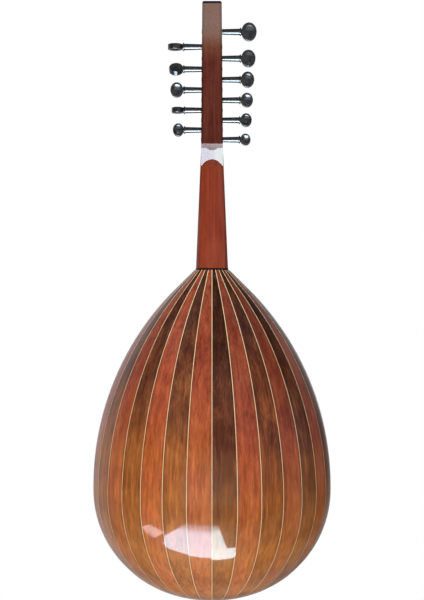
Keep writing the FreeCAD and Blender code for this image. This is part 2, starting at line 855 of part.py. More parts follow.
def make_pegbox_heel():
    """The block that joins the pegbox to the neck: a round root, and a foot under the cheeks."""
    region = new_body("heel_region")
    sketch = sketch_on(region, "YZ_Plane")
    trace(sketch, [
        ("heel_start", "-heel_start"),
        ("heel_start", "heel_start * tan(pegbox_angle)"),
        ("-heel_start / tan(pegbox_angle)", "-heel_start"),
    ])
    pad(region, sketch, "base_width * 2", "Symmetric")
    root = boolean("Part::Common", "heel_root", make_neck_loft("heel_blank"), region)
    ledge = "heel_depth - base_depth / 2"
    foot_blank = pegbox_piece("heel_foot_blank", [
        ("-base_depth / 2 - heel_drop * tan(heel_tilt)", "-heel_drop"),
        ("-base_depth / 2", "0"),
        side_point("heel_length", -1),
        (ledge, side_point("heel_length", -1)[1]),
        (ledge, "-heel_drop"),
    ], FULL_PLAN)
    foot = boolean("Part::Cut", "heel_foot", foot_blank, make_heel_facet())
    return boolean("Part::Fuse", "pegbox_heel", root, foot)


# ---------------------------------------------------------------- the pegs
def peg_run(number):
    """The run along the pegbox's centreline to a peg; number 0 is nearest the nut."""
    if number < PEG_COUNT - 1:
        return f"(first_peg + {number} * peg_pitch)"
    return f"(first_peg + {number - 1} * peg_pitch + last_pitch)"


def peg_side(number):
    """Heads lie on the right and left in turn; the peg nearest the nut is on the right."""
    return "right" if number % 2 == 0 else "left"


def peg_name(number):
    """Pegs are counted on each side from the pegbox's tip."""
    return f"peg_{peg_side(number)}_{(PEG_COUNT - 1 - number) // 2 + 1}"


def peg_place(number):
    """The point where the peg's axis crosses the middle of the pegbox."""
    along, across, _ = centreline(peg_run(number))
    return PEGBOX_FRAME.multVec(Vector(0, size(across), size(along)))


def peg_half_width(number):
    """Half the pegbox's width where this peg passes."""
    return half_width_at(centreline(peg_run(number))[0])


def peg_radius_at(number, x):
    """The shaft's radius at x, measured from the middle of the pegbox towards the head."""
    return f"(peg_radius + peg_taper * (({x}) - {peg_half_width(number)}))"


def graded(number, smallest, largest):
    """A size that grows evenly from the peg nearest the nut to the one at the tip."""
    return f"({smallest} + ({largest} - {smallest}) * {number} / {PEG_COUNT - 1})"


# how far each head is turned from lying flat, in degrees, from the nut to the tip
HEAD_TURNS = [8, 4, -3, 90, 5, -6, 2, 48, -4, 87, 3]


def make_peg(number):
    """A tapered shaft with a collar and a dished thumb head, made with its axis along X."""
    base_turn = Rotation(Vector(0, 0, 1), 0 if peg_side(number) == "right" else 180)
    turn = Rotation(Vector(1, 0, 0), HEAD_TURNS[number])
    peg = new_body(peg_name(number), Placement(peg_place(number), base_turn.multiply(turn)))
    half = peg_half_width(number)
    width = graded(number, "smallest_head", "largest_head")
    neck = graded(number, "shortest_neck", "longest_neck")
    head_place = f"({half} + {neck} + {width} * head_ratio / 2)"

    head_sketch = sketch_on(peg, "XZ_Plane")
    bind(head_sketch, {"AttachmentOffset.Base.x": head_place})
    head_sketch.addGeometry(Part.Ellipse(
        Vector(0, size(f"{width} / 2"), 0), Vector(size(f"{width} * head_ratio / 2"), 0, 0), Vector(0, 0, 0)))
    head = pad(peg, head_sketch, "head_thickness", "Symmetric")
    doc.recompute()
    rims = [f"Edge{place}" for place, edge in enumerate(head.Shape.Edges, start=1) if edge.Closed]
    rounding = peg.newObject("PartDesign::Fillet", f"{peg.Label}_rounding")
    rounding.Base = (head, rims)
    bind(rounding, {"Radius": "head_rounding"})

    depth = "((head_thickness - head_waist) / 2)"
    reach = f"({width} * head_ratio / 2 * dish_share)"
    ball = f"(({reach} * {reach} + {depth} * {depth}) / (2 * {depth}))"
    overshoot = f"({ball} - {depth} - dish_overshoot)"
    outer_reach = f"sqrt({ball} * {ball} - {overshoot} * {overshoot})"
    for way in (1, -1):
        dish_sketch = sketch_on(peg, "XY_Plane")
        bind(dish_sketch, {"AttachmentOffset.Base.x": head_place})
        trace(dish_sketch, [
            ("0", f"{way} * head_waist / 2"),
            (outer_reach, f"{way} * (head_thickness / 2 + dish_overshoot)", ball, way),
            ("0", f"{way} * (head_thickness / 2 + dish_overshoot)"),
        ])
        dish = peg.newObject("PartDesign::Groove", f"{peg.Label}_dish")
        dish.Profile = dish_sketch
        dish.ReferenceAxis = (dish_sketch, ["V_Axis"])
        dish.Angle = 360

    tip = f"(-{half} - peg_tip)"
    collar_end = f"({half} + {neck})"
    collar_start = f"({collar_end} - collar_length)"
    shaft_sketch = sketch_on(peg, "XY_Plane")
    trace(shaft_sketch, [
        (tip, "0"),
        (tip, f"{peg_radius_at(number, tip)} - peg_tip_chamfer"),
        (f"{tip} + peg_tip_chamfer", peg_radius_at(number, f"{tip} + peg_tip_chamfer")),
        (collar_start, peg_radius_at(number, collar_start)),
        (f"{collar_start} + collar_slope", f"{peg_radius_at(number, collar_start)} + collar_extra"),
        (f"{collar_end} - collar_slope", f"{peg_radius_at(number, collar_start)} + collar_extra",
         "collar_length", -1),
        (collar_end, f"{peg_radius_at(number, collar_start)} - collar_step"),
        (f"{collar_end} + shaft_entry", "head_waist / 2 - shaft_entry_gap"),
        (f"{collar_end} + shaft_entry", "0"),
    ])
    shaft = peg.newObject("PartDesign::Revolution", f"{peg.Label}_shaft")
    shaft.Profile = shaft_sketch
    shaft.ReferenceAxis = (shaft_sketch, ["H_Axis"])
    shaft.Angle = 360
    return peg


def make_peg_holes(label):
    """Tapered cutters, a little wider than the shafts, that pass through both cheeks."""
    cutters = []
    for number in range(PEG_COUNT):
        cutter = doc.addObject("Part::Cone", f"{label}_{number}")
        reach = f"({peg_half_width(number)} + peg_hole_overshoot)"
        way = 1 if peg_side(number) == "right" else -1
        bind(cutter, {
            "Radius1": f"{peg_radius_at(number, f'-{reach}')} + peg_clearance",
            "Radius2": f"{peg_radius_at(number, reach)} + peg_clearance",
            "Height": f"2 * {reach}",
        })
        start = peg_place(number) - Vector(way * size(reach), 0, 0)
        cutter.Placement = Placement(start, Rotation(Vector(0, 1, 0), way * 90))
        cutters.append(cutter)
    return compound(label, cutters)


# ---------------------------------------------------------------- the strings
def string_plan():
    """Each string's places: (name, x at the nut, x at the bridge, radius, peg number).

    Courses run from the single bass string at +X to the thinnest pair.  The outermost string on
    each side goes to the nearest peg on its side, and the inner ones go further up.
    """
    strings = []
    for course in range(COURSES):
        middle = (COURSES - 1) / 2 - course
        thickness = size(f"thickest_string - (thickest_string - thinnest_string) * {course} / {COURSES - 1}")
        sides = [0] if course == 0 else [0.5, -0.5]
        for place in sides:
            x_nut = size(f"{middle} * course_spacing + {place} * pair_spacing")
            x_bridge = size(f"{middle} * bridge_course_spacing + {place} * bridge_pair_spacing")
            strings.append((x_nut, x_bridge, thickness / 2))
    right_pegs = [number for number in range(PEG_COUNT) if peg_side(number) == "right"]
    left_pegs = [number for number in range(PEG_COUNT) if peg_side(number) == "left"]
    pegs = right_pegs + left_pegs[::-1]
    return [(f"string_{place}",) + string + (peg,)
            for place, (string, peg) in enumerate(zip(strings, pegs), start=1)]


def string_route(x_nut, x_bridge, radius, peg):
    """The string's start behind the bridge, its corner over the nut, and its end beside the peg."""
    height = size("string_height")
    round_radius = size("nut_round")
    centre = Vector(0, height - round_radius, size("nut_thickness - nut_start - nut_round"))
    axis = peg_place(peg)
    inner_half = size(f"{peg_half_width(peg)} - cheek_thickness")
    spread = size(f"{COURSES - 1} / 2 * course_spacing + pair_spacing / 2")
    x_peg = x_nut / spread * (inner_half - size("string_side_gap"))
    way = 1 if peg_side(peg) == "right" else -1
    shaft = size(peg_radius_at(peg, str(way * x_peg)))
    winding = shaft + radius + size("winding_gap")
    apart = Vector(0, axis.y - centre.y, axis.z - centre.z)
    slope = math.atan2(-apart.y, apart.z) + math.asin((round_radius - winding) / apart.Length)
    outward = Vector(0, math.cos(slope), math.sin(slope))
    start = Vector(x_bridge, size("bridge_string_height"), size(at("bridge_place + bridge_length")))
    corner = Vector(x_nut, height, centre.z + round_radius * math.tan(slope / 2))
    end = Vector(x_peg, axis.y, axis.z) + outward * winding
    return start, corner, end


def tube(start, corner, end, bend, radius):
    """A round solid along two straight runs joined by a tangent arc."""
    first = (start - corner).normalize()
    second = (end - corner).normalize()
    half_angle = first.getAngle(second) / 2
    setback = bend / math.tan(half_angle)
    arc_start = corner + first * setback
    arc_end = corner + second * setback
    inward = (first + second).normalize()
    centre = corner + inward * (bend / math.sin(half_angle))
    arc_middle = centre - inward * bend
    path = Part.Wire([
        Part.LineSegment(start, arc_start).toShape(),
        Part.Arc(arc_start, arc_middle, arc_end).toShape(),
        Part.LineSegment(arc_end, end).toShape(),
    ])
    section = Part.Wire([Part.Circle(start, first.negative(), radius).toShape()])
    solid = path.makePipeShell([section], True, False)
    expected = math.pi * radius * radius * path.Length
    if abs(solid.Volume / expected - 1) > VOLUME_TOLERANCE:
        raise RuntimeError("a tube's volume does not match its section and length")
    return solid


def string_shape(x_nut, x_bridge, radius, peg, extra):
    """The string's solid, or a wider one that cuts its groove."""
    start, corner, end = string_route(x_nut, x_bridge, radius, peg)
    return tube(start, corner, end, size("nut_round"), radius + extra)


def make_string(name, *places):
    """One string, held at its full length from the bridge over the nut to its peg."""
    string = doc.addObject("Part::Feature", name)
    string.Label = name
    string.Shape = string_shape(*places, 0)
    return string


def nut_grooves(strings):
    """Wider strings, which cut the grooves in the nut."""
    cutter = doc.addObject("Part::Feature", "nut_grooves")
    clearance = size("string_clearance")
    cutter.Shape = Part.makeCompound([string_shape(*string[1:], clearance) for string in strings])
    return cutter


def bridge_holes(strings):
    """Straight round cutters along the strings' first runs, which pass right through the bridge."""
    cutters = []
    overshoot = size("bridge_length / 2")
    for string in strings:
        start, corner, _ = string_route(*string[1:])
        along = (corner - start).normalize()
        radius = string[3] + size("string_clearance")
        cutters.append(Part.makeCylinder(
            radius, size("bridge_length") + 2 * overshoot, start - along * overshoot, along))
    cutter = doc.addObject("Part::Feature", "bridge_holes")
    cutter.Shape = Part.makeCompound(cutters)
    return cutter


# ---------------------------------------------------------------- the assembly
def make_all():
    """Every sub-part of the instrument."""
    strings = string_plan()
    parts = []
    for side in ("left", "right"):
        for number in range(1, RIBS_PER_SIDE + 1):
            parts.append(make_rib(side, number))
        parts.append(make_soundboard_half(side))
    parts += [
        make_stringing(),
        make_end_clasp(),
        make_neck_block(),
        make_tail_block(),
        make_braces(),
        make_edge_binding(),
        make_pickguard(),
        make_bridge(strings),
        make_neck(),
        make_neck_ring(),
        make_fingerboard(),
        make_nut(strings),
    ]
    parts.append(make_rosette("rosette_large", "large_hole_radius", LARGE_RINGS, "0", "large_hole_place"))
    small = []
    for side, x in (("left", "-small_hole_side"), ("right", "small_hole_side")):
        label = f"rosette_small_{side}"
        small.append(make_rosette(label, "small_hole_radius", SMALL_RINGS, x, "small_hole_place"))
    parts.append(compound("rosettes_small", small))
    holes = make_peg_holes("peg_holes")
    for side in ("left", "right"):
        parts.append(make_cheek(side, holes))
    parts += [make_pegbox_back(), make_end_block(), make_pegbox_cap(), make_pegbox_heel()]
    parts += [make_peg(number) for number in range(PEG_COUNT)]
    parts += [make_string(*string) for string in strings]
    return parts


def check(parts):
    """Stops if any object failed or any sub-part is empty or not valid."""
    for item in doc.Objects:
        if "Invalid" in item.State or "Error" in item.State:
            raise RuntimeError(f"{item.Label}: {item.State}")
    for part in parts:
        if part.Shape.isNull() or not part.Shape.isValid() or not part.Shape.Solids:
            raise RuntimeError(f"{part.Label}: its shape is empty or not valid")


all_parts = make_all()
doc.recompute()
check(all_parts)
for part in all_parts:
    part.Shape.exportStep(f"parts/{part.Label}.step")
    shape = part.Shape
    print(part.Label, len(shape.Solids), "solids,", round(shape.Volume), "cubic mm,", shape.BoundBox)
print(len(all_parts), "sub-parts")
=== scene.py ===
"""The looks of the oud: lacquered ribs, turned pegs, strings and their windings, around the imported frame."""

import json
import math
from typing import NamedTuple

import bpy
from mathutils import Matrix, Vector


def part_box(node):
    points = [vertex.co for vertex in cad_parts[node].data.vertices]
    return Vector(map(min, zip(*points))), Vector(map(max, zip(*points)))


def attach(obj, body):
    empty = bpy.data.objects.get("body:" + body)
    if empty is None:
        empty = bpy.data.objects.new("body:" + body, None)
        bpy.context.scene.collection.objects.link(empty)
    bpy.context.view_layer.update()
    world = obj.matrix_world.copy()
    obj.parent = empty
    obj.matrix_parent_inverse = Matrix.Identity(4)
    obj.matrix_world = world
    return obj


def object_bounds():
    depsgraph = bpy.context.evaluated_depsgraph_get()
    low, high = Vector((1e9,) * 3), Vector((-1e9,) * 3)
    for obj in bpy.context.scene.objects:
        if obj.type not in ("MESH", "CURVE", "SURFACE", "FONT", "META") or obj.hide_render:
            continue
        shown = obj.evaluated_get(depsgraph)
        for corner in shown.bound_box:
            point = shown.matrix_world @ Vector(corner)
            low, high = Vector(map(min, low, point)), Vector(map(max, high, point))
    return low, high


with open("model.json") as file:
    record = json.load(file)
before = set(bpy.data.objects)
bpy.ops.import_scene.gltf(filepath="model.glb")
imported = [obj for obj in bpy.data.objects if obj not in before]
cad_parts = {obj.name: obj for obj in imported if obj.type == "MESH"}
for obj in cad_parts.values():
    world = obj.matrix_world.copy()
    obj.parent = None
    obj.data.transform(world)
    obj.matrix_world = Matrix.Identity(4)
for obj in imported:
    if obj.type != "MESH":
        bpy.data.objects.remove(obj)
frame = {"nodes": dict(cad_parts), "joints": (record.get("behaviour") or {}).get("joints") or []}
CAD_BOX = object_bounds()
NODES = frame["nodes"]
JOINTS = frame["joints"]
SCENE = bpy.context.scene
ROOT = "oud"
SIDES = ("left", "right")

# ---------------------------------------------------------------- the camera
BOARD_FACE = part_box("soundboard_left")[1].y
CAMERA_DISTANCE = 1.784
CAMERA_HEIGHT = -0.2285
SENSOR_MM = 36.0
LENS_MM = 72.5
LEVEL = math.radians(90)


def make_camera():
    """A level camera that looks straight at the instrument's back, from the reference view's distance."""
    data = bpy.data.cameras.new("camera")
    data.sensor_fit = "VERTICAL"
    data.sensor_height = SENSOR_MM
    data.lens = LENS_MM
    camera = bpy.data.objects.new("camera", data)
    camera.location = (0, BOARD_FACE - CAMERA_DISTANCE, CAMERA_HEIGHT)
    camera.rotation_euler = (LEVEL, 0, 0)
    SCENE.collection.objects.link(camera)
    SCENE.camera = camera


# ---------------------------------------------------------------- node helpers
SRGB_KNEE = 0.04045
SRGB_SLOPE = 12.92
SRGB_OFFSET = 0.055
SRGB_POWER = 2.4


def linear(colour):
    """A display colour of 0..255 numbers as the linear numbers that shaders use."""
    parts = [part / 255 for part in colour]
    return tuple(
        part / SRGB_SLOPE if part <= SRGB_KNEE else ((part + SRGB_OFFSET) / (1 + SRGB_OFFSET)) ** SRGB_POWER
        for part in parts)


# a new colour stop's place, until it is given its own
STOP_START = 0.5


class Pattern(NamedTuple):
    """A noise: its features a metre across, through and along, and how fine and how bent they are."""
    scales: tuple
    detail: float
    roughness: float = 0.5
    distortion: float = 0.0


class Nodes:
    """Builds shader nodes, one call a node."""

    def __init__(self, node_tree):
        self.nodes = node_tree.nodes
        self.links = node_tree.links

    def add(self, kind, inputs=(), **settings):
        """A node with these settings, its inputs set or linked by name or number."""
        node = self.nodes.new(kind)
        for key, value in settings.items():
            setattr(node, key, value)
        for key, value in dict(inputs).items():
            self.put(node.inputs[key], value)
        return node

    def put(self, socket, value):
        """Sets a socket to a number or colour, or links it to another node's output."""
        if isinstance(value, bpy.types.NodeSocket):
            self.links.new(value, socket)
        else:
            socket.default_value = value

    def maths(self, operation, first, second=0.0, third=0.0):
        """The result of one sum."""
        node = self.add("ShaderNodeMath", {0: first, 1: second, 2: third}, operation=operation)
        return node.outputs[0]

    def between(self, value, start, end, first, last, kind="LINEAR"):
        """A value carried from start..end to first..last, and held there beyond either end."""
        node = self.add("ShaderNodeMapRange", {0: value, 1: start, 2: end, 3: first, 4: last},
                        interpolation_type=kind)
        return node.outputs[0]

    def spread(self, value, low, high):
        """A value from 0..1 carried to low..high."""
        return self.between(value, 0.0, 1.0, low, high)

    def pattern(self, places, kind, seed=0.0):
        """A noise value from 0 to 1 at these places in metres; a seed shifts it across."""
        shifts = (seed, 0.0, 0.0)
        stretched = [self.maths("MULTIPLY_ADD", place, scale, shift)
                     for place, scale, shift in zip(places, kind.scales, shifts)]
        vector = self.add("ShaderNodeCombineXYZ", dict(enumerate(stretched))).outputs[0]
        node = self.add("ShaderNodeTexNoise", {
            "Vector": vector, "Scale": 1.0, "Detail": kind.detail,
            "Roughness": kind.roughness, "Distortion": kind.distortion})
        return node.outputs["Fac"]

    def ramp(self, value, stops, kind="LINEAR"):
        """A colour from a value, through (place, colour) stops."""
        node = self.add("ShaderNodeValToRGB", {0: value})
        node.color_ramp.interpolation = kind
        elements = node.color_ramp.elements
        while len(elements) < len(stops):
            elements.new(STOP_START)
        for element, (place, colour) in zip(elements, stops):
            element.position = place
            element.color = (*colour, 1.0)
        return node.outputs["Color"]

    def blend(self, share, first, second):
        """Two colours mixed by a share from 0 to 1."""
        node = self.add("ShaderNodeMix", data_type="RGBA")
        self.put(node.inputs["Factor"], share)
        self.put(node.inputs["A"], first)
        self.put(node.inputs["B"], second)
        return node.outputs["Result"]

    def scaled(self, colour, factor):
        """A colour made lighter or darker by a factor."""
        return self.add("ShaderNodeVectorMath", {0: colour, "Scale": factor}, operation="SCALE").outputs[0]

    def bump(self, height, distance, strength, normal=None):
        """A bumped normal; distance is the bump's height in metres."""
        node = self.add("ShaderNodeBump", {"Height": height, "Distance": distance, "Strength": strength})
        if normal is not None:
            self.put(node.inputs["Normal"], normal)
        return node.outputs["Normal"]

    def split(self, vector):
        """A vector's three values."""
        return tuple(self.add("ShaderNodeSeparateXYZ", {0: vector}).outputs)

    def place(self):
        """The point in the frame, as x, y and z values in metres."""
        return self.split(self.add("ShaderNodeTexCoord").outputs["Object"])

    def normal(self):
        """The way that the surface faces."""
        return self.add("ShaderNodeNewGeometry").outputs["Normal"]


class Finish(Nodes):
    """A new material, with calls that set or link its shader's inputs."""

    def __init__(self, name):
        self.material = bpy.data.materials.new(name)
        self.material.use_nodes = True
        super().__init__(self.material.node_tree)
        self.shader = self.nodes["Principled BSDF"]

    def shade(self, inputs):
        """Sets or links the shader's inputs by name."""
        for name, value in inputs.items():
            self.put(self.shader.inputs[name], value)

    def colour_so_far(self):
        """The value that is linked to the shader's colour."""
        return self.shader.inputs["Base Color"].links[0].from_socket


# ---------------------------------------------------------------- woods
# each wood's dark, middle and light colours
RED_WOOD = [linear((104, 38, 20)), linear((160, 70, 42)), linear((188, 98, 60))]
DARK_WOOD = [linear((56, 20, 9)), linear((104, 47, 22)), linear((150, 81, 38))]
OLIVE_WOOD = [linear((56, 22, 11)), linear((104, 52, 27)), linear((150, 89, 45))]
PALE_STRIP = [linear((240, 200, 150)), linear((255, 226, 176)), linear((255, 242, 208))]
NECK_WOOD = [linear((116, 38, 20)), linear((158, 65, 38)), linear((176, 84, 52))]
PEGBOX_WOOD = [linear((58, 22, 17)), linear((104, 50, 41)), linear((130, 72, 58))]
SPRUCE = [linear((196, 150, 92)), linear((222, 182, 126)), linear((234, 202, 152))]
EBONY = [linear((10, 8, 8)), linear((22, 19, 19)), linear((40, 35, 34))]
PEG_EBONY = [linear((14, 14, 16)), linear((26, 27, 30)), linear((44, 46, 50))]
WALNUT = [linear((44, 24, 14)), linear((78, 46, 28)), linear((104, 66, 42))]
ROSE_WOOD = [linear((52, 22, 14)), linear((86, 40, 24)), linear((112, 58, 36))]

BANDS = Pattern((110.0, 40.0, 4.0), detail=4.0, roughness=0.65, distortion=0.9)
LINES = Pattern((520.0, 300.0, 9.0), detail=4.0, roughness=0.6, distortion=0.4)
BLOTCHES = Pattern((30.0, 30.0, 16.0), detail=3.0, roughness=0.55, distortion=0.4)
PORES = Pattern((1900.0, 1500.0, 75.0), detail=2.0, roughness=0.6)
LACQUER_RIPPLE = Pattern((55.0, 55.0, 55.0), detail=2.0)
BAND_SHARE = 0.40
LINE_SHARE = 0.30
BLOTCH_SHARE = 0.30
# the middle of the mixed noise, and how far from it the dark and light colours lie
MIDDLE = 0.5
COLOUR_REACH = 0.17
PORE_STOPS = [(0.30, (1, 1, 1)), (0.42, (0, 0, 0))]
PORE_STRENGTH = 0.5
PORE_DARKNESS = 0.35
GLOSS_SPREAD = 0.18
PORE_DEPTH = 0.00005
PORE_BUMP = 0.35
RIPPLE_DEPTH = 0.00018
RIPPLE_BUMP = 0.5
BARE_WOOD_SHINE = 0.05
LACQUER_IOR = 1.55


def wood(tree, places, shades, gloss, seed=0.0, coat=1.0, normal=None, contrast=1.0, haze=0.06):
    """A finished wood, from places across, through and along its grain in metres.

    Broad bands and finer growth lines set the colour, and short dark pores lie along the grain.
    """
    bands = tree.maths("MULTIPLY", tree.pattern(places, BANDS, seed), BAND_SHARE)
    lines = tree.pattern(places, LINES, seed)
    pores = tree.pattern(places, PORES, seed)
    mixed = tree.maths("ADD", bands, tree.maths("MULTIPLY", lines, LINE_SHARE))
    mixed = tree.maths("MULTIPLY_ADD", tree.pattern(places, BLOTCHES, seed), BLOTCH_SHARE, mixed)
    reach = COLOUR_REACH / contrast
    dark, middle, light = shades
    colour = tree.ramp(mixed, [(MIDDLE - reach, dark), (MIDDLE, middle), (MIDDLE + reach, light)])
    pore_share = tree.maths("MULTIPLY", tree.ramp(pores, PORE_STOPS), PORE_STRENGTH)
    pore_colour = [part * PORE_DARKNESS for part in dark]
    colour = tree.blend(pore_share, colour, (*pore_colour, 1.0))
    ripple = tree.pattern(places, LACQUER_RIPPLE)
    tree.shade({
        "Base Color": colour,
        "Roughness": tree.spread(lines, gloss, gloss + GLOSS_SPREAD),
        "Normal": tree.bump(pores, PORE_DEPTH, PORE_BUMP, normal),
        "Coat Normal": tree.bump(ripple, RIPPLE_DEPTH, RIPPLE_BUMP, normal),
        "Specular IOR Level": BARE_WOOD_SHINE,
        "Coat Weight": coat,
        "Coat Roughness": haze,
        "Coat IOR": LACQUER_IOR,
    })
    return colour


def straight_wood(name, shades, axis="z", lean=0.0, **finish):
    """A wood whose grain runs along one axis of the frame, leaned back about X by 'lean' radians."""
    tree = Finish(name)
    x, y, z = tree.place()
    along = tree.maths("SUBTRACT", tree.maths("MULTIPLY", z, math.cos(lean)),
                       tree.maths("MULTIPLY", y, math.sin(lean)))
    through = tree.maths("ADD", tree.maths("MULTIPLY", z, math.sin(lean)),
                         tree.maths("MULTIPLY", y, math.cos(lean)))
    places = (z, y, x) if axis == "x" else (x, through, along)
    wood(tree, places, shades, **finish)
    return tree


def toned(shades, factor):
    """A wood's colours, made lighter or darker by a factor."""
    return [tuple(part * factor for part in shade) for shade in shades]


# ---------------------------------------------------------------- the bowl
BOWL_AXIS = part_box("rib_right_8")[1].y
# places along the ribs are counted from this height, in metres for each radian of lean
BOWL_MIDDLE = -0.502
BOWL_REACH = 0.22
RIB_ANGLE = math.radians(11.25)
RIBS_A_SIDE = 8
RIB_ROUNDING = 0.75
RIB_GLOSS = 0.30
# the broad glow round bright reflections, from the wood under the clear coat
RIB_GLOW = 0.12
RIB_CONTRAST = {"red": 1.05, "dark": 1.30}
RIB_SEED = 7.3
SIDE_SEED = 31.7
RIB_WOODS = {
    ("red", "left"): RED_WOOD,
    ("red", "right"): RED_WOOD,
    ("dark", "left"): OLIVE_WOOD,
    ("dark", "right"): DARK_WOOD,
}
# how much lighter or darker each rib is than its kind, from the centre seam outwards
RIB_TONES = {
    "left": [1.05, 1.62, 1.18, 1.60, 0.92, 1.25, 0.90, 1.00],
    "right": [0.78, 1.02, 1.15, 0.76, 0.76, 0.74, 0.85, 0.85],
}
# painted light: golden streaks of painted glow on the lower bowl appear below the first place along the ribs
# and are full at the second
PAINTED_GLOW_TINT = linear((214, 134, 54))
PAINTED_GLOW_STARTS = {"left": 0.20, "right": 0.10}
PAINTED_GLOW_FULL = -0.12
# the streaks' share is this times a noise of about a half
PAINTED_GLOW_SHARE = 1.056
PAINTED_GLOW_STREAKS = Pattern((18.0, 18.0, 18.0), detail=2.0)
FLECKS = Pattern((250.0, 90.0, 30.0), detail=4.0, roughness=0.62, distortion=0.5)
FLECK_NOISE = (0.32, 0.68)
FLECK_TONES = (0.72, 1.26)
# painted shade that darkens the ribs at the neck end, and painted light that lightens them lower down
PAINTED_LIGHT_PLACES = (0.30, 0.08)
NECK_END_PAINTED_SHADE = {
    ("red", "left"): 0.80,
    ("red", "right"): 0.60,
    ("dark", "left"): 0.30,
    ("dark", "right"): 0.30,
}
LOW_PAINTED_LIGHT = 1.15
# the darker wood beside the seams, by the turn from the rib's middle
SEAM_TURNS = (RIB_ANGLE * 0.36, RIB_ANGLE * 0.49)
SEAM_TONE = 0.74


def bowl_places(tree, angle):
    """Places across, through and along a rib whose middle lies at this angle, and the turn from it."""
    x, y, z = tree.place()
    depth = tree.maths("SUBTRACT", BOWL_AXIS, y)
    squares = tree.maths("ADD", tree.maths("MULTIPLY", x, x), tree.maths("MULTIPLY", depth, depth))
    radius = tree.maths("SQRT", squares)
    turn = tree.maths("SUBTRACT", tree.maths("ARCTAN2", x, depth), angle)
    across = tree.maths("MULTIPLY", radius, turn)
    lean = tree.maths("ARCTAN2", tree.maths("SUBTRACT", z, BOWL_MIDDLE), radius)
    along = tree.maths("MULTIPLY", lean, BOWL_REACH)
    return (across, radius, along), turn


def rib_finish(side, number):
    """The wood of one rib: red and dark by turns, and no two cut from the same stretch.

    The scraped ribs are a little round across, so the shading turns with the place on the rib.
    """
    way = 1 if side == "right" else -1
    kind = "red" if (number % 2 == 1) == (side == "left") else "dark"
    tree = Finish(f"rib_wood_{side}_{number}")
    places, turn = bowl_places(tree, way * (number - 0.5) * RIB_ANGLE)
    along = places[2]
    seed = number * RIB_SEED + way * SIDE_SEED
    rounded = tree.add("ShaderNodeVectorRotate", {
        "Vector": tree.normal(),
        "Angle": tree.maths("MULTIPLY", turn, RIB_ROUNDING),
    }, rotation_type="Z_AXIS")
    shades = toned(RIB_WOODS[kind, side], RIB_TONES[side][number - 1])
    colour = wood(tree, places, shades, gloss=RIB_GLOSS, seed=seed, normal=rounded.outputs[0],
                  contrast=RIB_CONTRAST[kind])
    # painted light: a golden glow in streaks on the lower bowl
    painted_glow = tree.between(along, PAINTED_GLOW_STARTS[side], PAINTED_GLOW_FULL, 0.0, PAINTED_GLOW_SHARE)
    glow_streaks = tree.maths("MULTIPLY", painted_glow, tree.pattern(places, PAINTED_GLOW_STREAKS))
    colour = tree.blend(glow_streaks, colour, (*PAINTED_GLOW_TINT, 1.0))
    flecks = tree.between(tree.pattern(places, FLECKS, seed), *FLECK_NOISE, *FLECK_TONES)
    colour = tree.scaled(colour, flecks)
    # painted shade towards the neck end and painted light lower down
    painted_light_and_shade = tree.between(along, *PAINTED_LIGHT_PLACES, NECK_END_PAINTED_SHADE[kind, side], LOW_PAINTED_LIGHT)
    colour = tree.scaled(colour, painted_light_and_shade)
    seam = tree.between(tree.maths("ABSOLUTE", turn), *SEAM_TURNS, 1.0, SEAM_TONE)
    tree.shade({"Base Color": tree.scaled(colour, seam), "Specular IOR Level": RIB_GLOW})
    return tree


def stringing_finish():
    """The pale strips between the ribs, with their grain along the bowl."""
    tree = Finish("pale_stringing")
    places, _ = bowl_places(tree, 0.0)
    wood(tree, places, PALE_STRIP, gloss=RIB_GLOSS)
    return tree


# ---------------------------------------------------------------- the neck and pegbox
# painted shade along the sides of the neck and the pegbox: how far in it reaches, and how dark it is at the
# very side
PAINTED_SHADE_WIDTH = 0.0045
NECK_PAINTED_SHADE = 0.50
PEGBOX_PAINTED_SHADE = 0.30
PEGBOX_LEAN = math.radians(42)
# the cheeks get a darker copy of the pegbox's wood: painted shade on the box's sides
CHEEK_PAINTED_SHADE = 0.70
# the lacquer thickens between the first two heights, and between the other two the wood is painted paler
# towards the tip, a painted highlight
LACQUERED = (0.114, 0.148)
TIP_HIGHLIGHT_HEIGHTS = (0.090, 0.135)
TIP_HIGHLIGHT_SHARE = 0.55
TIP_HIGHLIGHT_BROWN = linear((150, 100, 70))
TIP_COAT_IOR = 2.8
PEG_COAT_IOR = 2.6
# the heel's root is this long, and the z of its normal lies above this, where the facet's lies below
HEEL_ROOT_LENGTH = 0.0115
HEEL_FACET_LEAN = -0.3
# the warm shine of the heel's wood under its clear coat
HEEL_GLOW = 0.50
HEEL_GLOW_TINT = (1.0, 0.72, 0.54)


def painted_side_shade(tree, first_half, first_z, second_half, second_z, darkest):
    """Painted shade near the sides of a piece whose half width tapers along z, as a factor."""
    x, _, z = tree.place()
    half = tree.between(z, first_z, second_z, first_half, second_half)
    inset = tree.maths("SUBTRACT", half, tree.maths("ABSOLUTE", x))
    return tree.between(inset, 0.0, PAINTED_SHADE_WIDTH, darkest, 1.0)


def neck_finish():
    """The neck's wood, with painted shade along its sides, towards the fingerboard."""
    tree = straight_wood("neck_wood", NECK_WOOD, gloss=0.30, seed=14.0)
    low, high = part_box("neck")
    # painted shade along the neck's sides
    shade = painted_side_shade(tree, high.x, low.z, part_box("pegbox_heel")[1].x, high.z, NECK_PAINTED_SHADE)
    tree.shade({"Base Color": tree.scaled(tree.colour_so_far(), shade)})
    return tree


